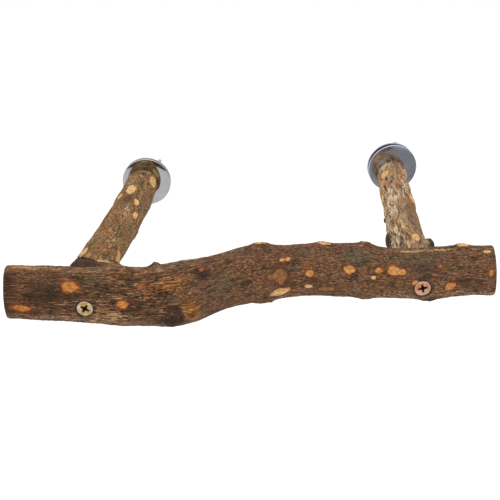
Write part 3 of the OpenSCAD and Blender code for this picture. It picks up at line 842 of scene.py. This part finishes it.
LEFT_STAINS_AND_SHADE = (
    (0.62, 5, 6, 7, 2, 0.5), (0.62, -25, 7, 5, 3, 0.4), (0.58, 0, 6, 5, 1, 0.9), (0.11, 20, 9, 5, 3, 0.45),
    (0.42, -34, 13, 3, 3, 0.75), (0.3, -22, 8, 3, 3, 0.7), (0.4, 14, 9, 3, 3, 0.55),
    (0.97, -5, 3, 5, 1, 0.7), (0.85, 20, 8, 6, 2, 0.2), (0.7, 66, 30, 4, 1, 0.35), (0.3, 50, 20, 6, 1, 0.35),
    (0.1, -10, 10, 8, 1, 0.4), (0.06, -20, 3, 5, 2, 0.5), (0.985, -52, 3, 3, 0, 1),
    # The row at 0.45 and -88 degrees is painted shade along the arm's left flank
    (0.998, 24, 1.5, 11, 0, 1), (0.45, -88, 60, 3, 2, 0.5), (0.2, 30, 20, 3, 0, 0.3),
    (0.5, 20, 20, 3, 0, 0.35), (0.82, -10, 12, 5, 0, 0.3),
)
left_skin = arm_skin(LEFT_ROOT, LEFT_END, 27.6, 25.8, left_joint, LEFT_RADII, LEFT_BOWS)
bm, t, rho, a, grain = arm_barrel(left_skin, 13.4)
pits = gentle(cracks(grain, (2.6, 2, 2), 4.4), 0, 0.25)
fine = rough(grain, (1.6, 1.1, 1.1), 3, 7.7)
ridges = 1 - 2 * np.abs(rough(grain, (9, 2.4, 2.4), 3, 6.1))
relief = 0.4 * fine + 0.3 * pits + 0.35 * ridges
height = 0.2 * relief + 0.55 * rough(grain, (20, 10, 10), 3, 1.1)
left_bark = bark_finish(
    "left_arm_bark",
    tones=((66, 49, 34), (112, 85, 59), (150, 120, 84)),
    hues=((226, 220, 222), (255, 236, 218), (228, 228, 188)),
    tints=((214, 214, 186), (255, 238, 220), (224, 212, 214)),
    streak=(3, 1.1, 1.1), fleck=(1.6, 0.8, 0.8), crack=(2.6, 1.5, 1.5), lift=0.35,
    pale=(214, 182, 132), moss=(108, 94, 54), straw=(204, 174, 122), contrast=1.1, deep=0.22)
arm_sawn = sawn_finish("arm_sawn", 13.4, (218, 186, 136), (184, 146, 98))
sliver = (-0.01, 0.016, 22, 108, 1)
arm_piece("left", left_skin, bm, t, rho, a, grain, height, relief, LEFT_CUTS, [sliver], LEFT_STAINS_AND_SHADE,
          left_bark, arm_sawn)

# %% Right arm
RIGHT_ROOT, RIGHT_END = (RIGHT_ARM_X, -153.47, -10.59), (102.4, -1.8, -5.4)
RIGHT_RADII = (1, 0.98, 1, 1.03, 0.99, 0.97, 1, 1.02, 0.99, 1)
RIGHT_BOWS = (0, -0.02, -0.035, -0.05, -0.05, -0.05, -0.04, -0.03, -0.01, 0)
RIGHT_CUTS = (
    (0.862, -37, 6.8, 3.8, 0.7, 0.6, 0.1, 10, 1), (0.905, 58, 7.4, 2.2, 0.6, 0.4, 0.3, 0, 1),
    (0.558, 56, 7.8, 4.2, 1.4, 1, 0.1, 0, 1), (0.642, -74, 5.8, 2.4, 0.5, 0.4, 0.2, 0, 1),
    (0.109, 13, 5.6, 3, 0.7, 0.7, 0.1, 0, 0.97), (0.3, 160, 4.2, 3.2, 0.6, 0.8, 0, 0, 0.9),
    (0.75, 140, 4.2, 3, 0.6, 0.8, 0, 0, 0.8), (0.5, -150, 4, 3, 0.6, 0.8, 0, 0, 0.9),
)
RIGHT_STAINS = (
    (0.976, -41, 6, 5, 0, 1), (0.3, 25, 26, 7, 2, 0.42), (0.36, 48, 22, 5, 3, 0.6), (0.678, 3, 7, 3, 3, 0.7),
    (0.5, 22, 5, 8, 3, 0.5), (0.46, 36, 12, 5, 2, 0.5), (0.47, -8, 4, 4, 3, 0.5), (0.87, 8, 14, 5, 3, 0.5),
    (0.8, 15, 12, 5, 3, 0.3), (0.93, 5, 8, 6, 3, 0.4), (0.5, -40, 30, 5, 0, 0.5), (0.2, -60, 24, 6, 0, 0.5),
    (0.4, -85, 60, 4, 0, 0.3), (0.12, -35, 6, 1.2, 2, 0.8), (0.79, -34, 4, 1.2, 2, 0.7),
    (0.73, -18, 4, 1.2, 2, 0.6), (0.08, 20, 5, 2, 2, 0.6), (0.16, 90, 8, 5, 0, 0.6),
    (0.65, 30, 14, 4, 0, 0.5), (0.55, -10, 18, 4, 0, 0.3),
)
right_skin = arm_skin(RIGHT_ROOT, RIGHT_END, 22.8, 23.4, lambda a, r: 0 * a, RIGHT_RADII, RIGHT_BOWS)
bm, t, rho, a, grain = arm_barrel(right_skin, 11.5)
slanted = grain.copy()
slanted[:, 0] += 7 * np.sin(a)
plates = gentle(cracks(slanted, (13, 3.2, 3.2), 1.7), 0, 0.22)
ridges = 1 - 2 * np.abs(rough(slanted, (14, 2.6, 2.6), 3, 9.1))
fine = rough(slanted, (3, 1, 1), 3, 2.7)
relief = 0.4 * plates + 0.55 * ridges + 0.3 * fine - 0.15
height = 0.5 * relief + 0.7 * rough(grain, (20, 9, 9), 3, 4.4)
right_bark = bark_finish(
    "right_arm_bark",
    tones=((80, 60, 48), (138, 112, 88), (178, 157, 129)),
    hues=((232, 230, 230), (250, 236, 214), (240, 220, 212)),
    tints=((226, 226, 210), (255, 238, 208), (214, 196, 190)),
    streak=(10, 2.2, 2.2), fleck=(3, 1, 1), crack=(15, 4, 4), lift=0.5,
    pale=(206, 185, 154), moss=(150, 138, 106), straw=(206, 183, 150), contrast=1.2, deep=0.32)
arm_piece("right", right_skin, bm, t, rho, a, slanted, height, relief, RIGHT_CUTS, [], RIGHT_STAINS,
          right_bark, arm_sawn)

# %% [markdown]
# Two side twigs stand near the right arm's foot and a small bud higher up, each pared to a dark knob. A knob
# starts as a sphere and rises out of the bark, so it reads as grown on.


# %% Twig knobs
def knob(name, t0, angle, radius, length, lift, droop):
    foot = spot(right_skin, t0, math.radians(angle))
    inner = (spot(right_skin, t0, 0) + spot(right_skin, t0, math.pi)) / 2
    out = Vector(foot - inner).normalized()
    out = (out + Vector((0, lift, droop))).normalized()
    turn = out.to_track_quat("Z", "Y").to_matrix()
    bm = bmesh.new()
    bmesh.ops.create_icosphere(bm, subdivisions=4, radius=1)
    places = np.array([v.co for v in bm.verts])
    bumps = rough(places * radius, (1.6, 1.6, 1.6), 3, t0 * 37)
    for vertex, bump in zip(bm.verts, bumps):
        p = vertex.co.copy()
        p.z = p.z if p.z < 0.55 else 0.55 + (p.z - 0.55) * 0.45
        wide = 1 + 0.28 * max(0, -p.z) + 0.12 * bump
        p = Vector((p.x * radius * wide, p.y * radius * wide, p.z * length))
        vertex.co = (Vector(foot) + turn @ p) * MM
    bmesh.ops.recalc_face_normals(bm, faces=bm.faces)
    piece = link_piece(name, bm, "perch", ["right_arm"], "right_arm_bark", right_bark)
    dark = np.zeros((len(places), 4))
    dark[:, 2] = gentle(places[:, 2], -0.1, 0.5) * 0.8
    keep_bark(piece, places * radius, 0.35 + 0.5 * bumps, dark)


knob("right_arm_twig_a", 0.235, -90, 5.6, 4.6, 0.1, 0)
knob("right_arm_twig_b", 0.145, 80, 4.4, 7, 0.15, 0)
knob("right_arm_bud", 0.455, -96, 1.9, 2, 0.2, 0.1)

# %% [markdown]
# ## Zinc finishes
# Washers, nuts, studs and screws are steel with a thin coat of zinc. Polished zinc is a soft mirror with
# faint turning marks. The screws are yellow passivated, which tints them gold, green and pink in patches. A
# lighter rim on each screw head is a painted highlight.


# %% Zinc finish
def zinc_finish(name, base, centre, rough_low, rough_high, ring, patches=(), depth=0.25, rim_highlight=None):
    finish, tree, shader = start_finish(name, Metallic=1)
    shift = tuple(-c * MM for c in centre)
    place = join("Mapping", {"Vector": object_place(tree), "Location": shift}).outputs[0]
    split = join("SeparateXYZ", {"Vector": place}).outputs
    flat = join("CombineXYZ", {"X": split["X"], "Y": split["Z"]}).outputs[0]
    far = join("VectorMath", {0: flat}, operation="LENGTH").outputs["Value"]
    turned = {"X": times(far, 1 / (ring * MM)), "Y": times(split["Y"], 300)}
    marks = mottle(join("CombineXYZ", turned).outputs[0], 3, 0.6)
    haze = speckle(place, (7, 7, 7))
    spots = speckle(place, (1.1, 1.1, 1.1), 2, 0.5)
    colour = ramp(haze, (0.3, paint(base, 0.86)), (0.7, base))
    for tint, x, z, size in patches:
        gap = join("VectorMath", {0: flat, 1: (x * MM, z * MM, 0)}, operation="DISTANCE").outputs["Value"]
        gap = plus(gap, part_of(haze, 0.3, 0.7, -0.9 * MM, 0.9 * MM))
        colour = mixed(part_of(gap, size * MM, 0.4 * size * MM, 0, 0.9), colour, tint)
    # Painted highlight: a lighter band round the edge of the screw head
    if rim_highlight:
        colour = mixed(part_of(far, 4 * MM, 4.8 * MM, 0, 0.75), colour, rim_highlight)
    colour = mixed(part_of(spots, 0.68, 0.76, 0, 0.2), colour, paint(base, 0.6))
    gloss = part_of(haze, 0.35, 0.65, rough_low, rough_high)
    gloss = plus(gloss, part_of(marks, 0.3, 0.7, 0, 0.2 * depth))
    plug(shader, Base_Color=colour, Roughness=gloss, Normal=raised(marks, depth, 0.02))
    return finish


STUDS = {"left": (-103.2, 0, 0), "right": (103.2, 0, 0)}
washer_zinc = {
    "left": zinc_finish("left_washer_zinc", (178, 178, 179), STUDS["left"], 0.05, 0.09, 0.6, depth=0.06),
    # The right washers get a lighter, bluer base than the left ones, though both are the same zinc: a painted
    # reflection tint
    "right": zinc_finish("right_washer_zinc", (187, 190, 201), STUDS["right"], 0.12, 0.2, 0.6, depth=0.1),
}
print("washer finishes for both sides")

# %% [markdown]
# ## Washers
# A washer is a stamped ring. Its cross-section is a rectangle that is spun once round the stud's axis, and
# its rims are bevelled, since the thin bright line along a rim is what tells metal from paper.

# %% Washers
WASHER_RADIUS, WASHER_BORE, WASHER_THICK = 20, 4.2, 1.5
WASHER = ((WASHER_BORE, 0), (WASHER_RADIUS, 0), (WASHER_RADIUS, WASHER_THICK), (WASHER_BORE, WASHER_THICK))


def lathe(outline, steps=96, ring=False):
    bm = bmesh.new()
    corners = [bm.verts.new((r, y, 0)) for r, y in outline]
    ends = corners[1:] + corners[:1] if ring else corners[1:]
    edges = [bm.edges.new(pair) for pair in zip(corners, ends)]
    bmesh.ops.spin(bm, geom=corners + edges, axis=(0, 1, 0), cent=(0, 0, 0), angle=math.tau, steps=steps,
                   use_merge=True)
    bmesh.ops.remove_doubles(bm, verts=bm.verts, dist=1e-5)
    bmesh.ops.recalc_face_normals(bm, faces=bm.faces)
    return bm


def place_metal(bm, centre):
    bmesh.ops.recalc_face_normals(bm, faces=bm.faces)
    bmesh.ops.translate(bm, vec=centre, verts=bm.verts)
    bmesh.ops.scale(bm, vec=(MM, MM, MM), verts=bm.verts)


for name, side, y in (("left_front", "left", -WASHER_THICK), ("right_front", "right", -WASHER_THICK),
                      ("left_rear", "left", 2.1), ("right_rear", "right", 5)):
    bm = lathe(WASHER, 160, ring=True)
    for radius, offset, segments in ((WASHER_RADIUS, 0.32, 4), (WASHER_BORE, 0.15, 2)):
        rims = [e for e in bm.edges if all(abs(math.hypot(v.co.x, v.co.z) - radius) < 0.1 for v in e.verts)
                and abs(e.verts[0].co.y - e.verts[1].co.y) < 0.1]
        bmesh.ops.bevel(bm, geom=rims, offset=offset, segments=segments, profile=0.5, affect="EDGES",
                        material=-1)
    place_metal(bm, (STUDS[side][0], y, 0))
    link_piece(name + "_ring", bm, name, [name + "_washer"], "washer_zinc", washer_zinc[side], sharp=35)

# %% [markdown]
# ## Studs
# Each stud is a hanger bolt: a coarse wood thread held in the arm and a fine machine thread for the nut. A
# thread could be cut with a Boolean, but spinning one pitch of its outline upwards gives cleaner faces. A
# formula then tapers the point and eases the tip.


# %% Thread tool
def thread(turns, profile, low, high, narrow, steps=32):
    bm = bmesh.new()
    corners = [bm.verts.new((r, y, 0)) for r, y in profile]
    edges = [bm.edges.new(pair) for pair in zip(corners, corners[1:])]
    bmesh.ops.spin(bm, geom=corners + edges, axis=(0, 1, 0), cent=(0, 0, 0), angle=math.tau * turns,
                   steps=turns * steps, dvec=(0, 1 / steps, 0))
    bmesh.ops.remove_doubles(bm, verts=bm.verts, dist=1e-4)
    first, last = 1.013, turns - 0.017
    for y, below in ((first, True), (last, False)):
        bmesh.ops.bisect_plane(bm, geom=bm.verts[:] + bm.edges[:] + bm.faces[:], plane_co=(0, y, 0),
                               plane_no=(0, 1, 0), clear_inner=below, clear_outer=not below)
    bmesh.ops.holes_fill(bm, edges=[e for e in bm.edges if e.is_boundary], sides=0)
    for v in bm.verts:
        y = low + (v.co.y - first) / (last - first) * (high - low)
        share = narrow(y, math.hypot(v.co.x, v.co.z))
        v.co = (v.co.x * share, y, v.co.z * share)
    return bm


def gather(*parts):
    whole = bmesh.new()
    for part in parts:
        mesh = bpy.data.meshes.new("part")
        part.to_mesh(mesh)
        part.free()
        whole.from_mesh(mesh)
        bpy.data.meshes.remove(mesh)
    return whole


print("thread tool ready")

# %% Studs
STUD_POINT, STUD_TIP = -31.8, 28.2
WOOD_PITCH = ((2.9, 0), (2.9, 0.52), (4, 0.71), (4, 0.77), (2.9, 0.96), (2.9, 1))
MACHINE_PITCH = ((3.35, 0), (3.35, 0.1), (4, 0.46), (4, 0.54), (3.35, 0.9), (3.35, 1))
for side, centre in STUDS.items():
    wood = thread(11, WOOD_PITCH, STUD_POINT, -1.7, lambda y, r: min(1, 0.03 + (y - STUD_POINT) / 7.2))
    machine = thread(25, MACHINE_PITCH, -1.9, STUD_TIP, lambda y, r: min(1, (3.2 + STUD_TIP - y) / r))
    bm = gather(wood, machine)
    place_metal(bm, centre)
    steel = zinc_finish(side + "_stud_steel", (172, 172, 174), centre, 0.22, 0.34, 0.5)
    link_piece(side + "_hanger_stud", bm, "perch", [side + "_stud"], "stud_steel", steel, sharp=35)

# %% [markdown]
# ## Wing nuts
# A wing nut is forged: a tapered hub and two ears that melt into it. The ears start as the hull of two discs.
# A remesh with small voxels joins them with the hub and smoothing rounds the join, which bevels alone can't
# do, and the bore is cut last so that it stays crisp.


# %% Wing nut tools
def shaped(bm, kind, cutter=None, **settings):
    blanks = [new_object("blank", source) for source in (bm, cutter) if source is not None]
    modifier = blanks[0].modifiers.new("shape", kind)
    for key, value in settings.items():
        setattr(modifier, key, value)
    if cutter is not None:
        modifier.object = blanks[1]
    bpy.context.view_layer.update()
    result = bpy.data.meshes.new_from_object(blanks[0].evaluated_get(bpy.context.evaluated_depsgraph_get()))
    whole = bmesh.new()
    whole.from_mesh(result)
    for mesh in [blank.data for blank in blanks] + [result]:
        bpy.data.meshes.remove(mesh)
    return whole


def ear(way):
    bm = bmesh.new()
    for radius, out, rise in ((3.9, 3.6, 3.9), (4.7, 12.8, 12)):
        for face in (-1.2, 1.2):
            place = Matrix.Translation((way * out, rise, face))
            bmesh.ops.create_circle(bm, cap_ends=False, segments=48, radius=radius, matrix=place)
    hull = bmesh.ops.convex_hull(bm, input=bm.verts)
    bmesh.ops.delete(bm, geom=hull["geom_interior"], context="VERTS")
    bmesh.ops.recalc_face_normals(bm, faces=bm.faces)
    return bm


# %% Wing nuts
NUT_HUB = ((0, 0), (7.1, 0), (7.5, 0.4), (6.4, 8.6), (6, 9), (0, 9))
NUT_BORE = ((0, -1), (4.45, -1), (4.45, 0), (4.05, 0.4), (4.05, 8.6), (4.45, 9), (4.45, 10), (0, 10))
for side, foot, turn in (("left", 3.7, 48), ("right", 6.6, 67)):
    bm = shaped(gather(lathe(NUT_HUB), ear(1), ear(-1)), "REMESH", mode="VOXEL", voxel_size=0.36)
    for _ in range(4):
        bmesh.ops.smooth_vert(bm, verts=bm.verts, factor=0.5, use_axis_x=True, use_axis_y=True,
                              use_axis_z=True)
    for v in bm.verts:
        v.co.y = max(v.co.y, 0)
    bm = shaped(bm, "BOOLEAN", lathe(NUT_BORE, 64), operation="DIFFERENCE", solver="EXACT")
    bmesh.ops.rotate(bm, verts=bm.verts, matrix=Matrix.Rotation(math.radians(-turn), 3, "Y"))
    bmesh.ops.translate(bm, verts=bm.verts, vec=(0, foot, 0))
    place_metal(bm, STUDS[side])
    finish = zinc_finish(side + "_nut_zinc", (180, 181, 184), STUDS[side], 0.2, 0.32, 0.6)
    link_piece(side + "_wing_nut_forged", bm, side + "_nut", [side + "_wing_nut"], "nut_zinc", finish)

# %% [markdown]
# ## Screws
# A long countersunk screw goes through the branch into each arm. Its head and shank are turned in one spin,
# the cross is cut into the head with two tapered blocks and a small cone, and the thread is spun like the
# studs'. The recess gets its own dark finish, which is dirt and painted shade.


# %% Cross recess
def cross_cutters(turn):
    blocks = []
    for quarter in (0, 90):
        bm = bmesh.new()
        bmesh.ops.create_cube(bm, size=1)
        bmesh.ops.scale(bm, vec=(7, 3.4, 1.6), verts=bm.verts)
        bmesh.ops.translate(bm, vec=(0, 0.7, 0), verts=bm.verts)
        bmesh.ops.scale(bm, vec=(0.42, 1, 0.6), verts=[v for v in bm.verts if v.co.y > 1])
        bmesh.ops.rotate(bm, verts=bm.verts, matrix=Matrix.Rotation(math.radians(turn + quarter), 3, "Y"))
        blocks.append(bm)
    return blocks + [lathe(((0, -1), (1.6, -1), (1.5, 0), (0.6, 2.4), (0, 2.4)), 24)]


# Dark finish in the cross recess: dirt and painted shade
recess_dirt_and_shade, tree, shader = start_finish("screw_recess_dirt_and_shade", Metallic=0.4)
grime = speckle(object_place(tree), (0.8, 0.8, 0.8))
plug(shader, Base_Color=ramp(grime, (0.35, (20, 15, 12)), (0.7, (58, 45, 34))),
     Roughness=part_of(grime, 0.3, 0.7, 0.8, 0.55))
print("recess finish ready")

# %% Screws
SCREW_LEN = 80
SCREW_HEAD = ((0, 0), (4.86, 0), (5, 0.14), (5, 0.5), (2.5, 3), (1.8, 4.4), (1.8, 31), (0, 31))
SCREW_PITCH = ((1.55, 0), (1.55, 0.5), (2.5, 0.7), (2.5, 0.74), (1.55, 0.94), (1.55, 1))
# The fourth entry of each look is the painted highlight on the head's rim
screw_looks = {
    "left": ("yellow_zinc", (181, 152, 100), 36, (206, 187, 156), (
        ((186, 146, 84), 0.2, 3, 2.4), ((206, 200, 190), -3.2, 1, 1.8), ((214, 162, 136), -3, -1.6, 2.2),
        ((206, 160, 140), 3.2, 0, 2.4), ((170, 196, 96), -0.4, -4.4, 2.6), ((186, 196, 144), 3.2, 3.4, 1.8))),
    "right": ("pink_zinc", (252, 192, 162), -11, (255, 218, 184), (
        ((250, 166, 112), -2.4, 1.4, 2.2), ((246, 150, 130), -3.9, -1, 2.4), ((250, 162, 142), 3.2, 1.1, 2.2),
        ((238, 182, 172), 1, -3, 2.4))),
}
for side, (slot, tone, turn, rim_highlight, patches) in screw_looks.items():
    head = lathe(SCREW_HEAD)
    for cutter in cross_cutters(turn):
        head = shaped(head, "BOOLEAN", cutter, operation="DIFFERENCE", solver="EXACT")
    shank = thread(22, SCREW_PITCH, 30.4, SCREW_LEN, lambda y, r: min(1, 0.03 + (SCREW_LEN - y) / 6), 24)
    bm = gather(head, shank)
    for face in bm.faces:
        centre = face.calc_center_median()
        face.material_index = int(0.03 < centre.y < 2.5 and math.hypot(centre.x, centre.z) < 3.2)
    place_metal(bm, screw_place[side])
    finish = zinc_finish(side + "_screw_zinc", tone, screw_place[side], 0.34, 0.46, 0.5, patches, rim_highlight=rim_highlight)
    link_piece(side + "_cross_screw", bm, "perch", [side + "_screw"], slot, finish, recess_dirt_and_shade, sharp=30)

# %% Size
low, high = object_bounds()
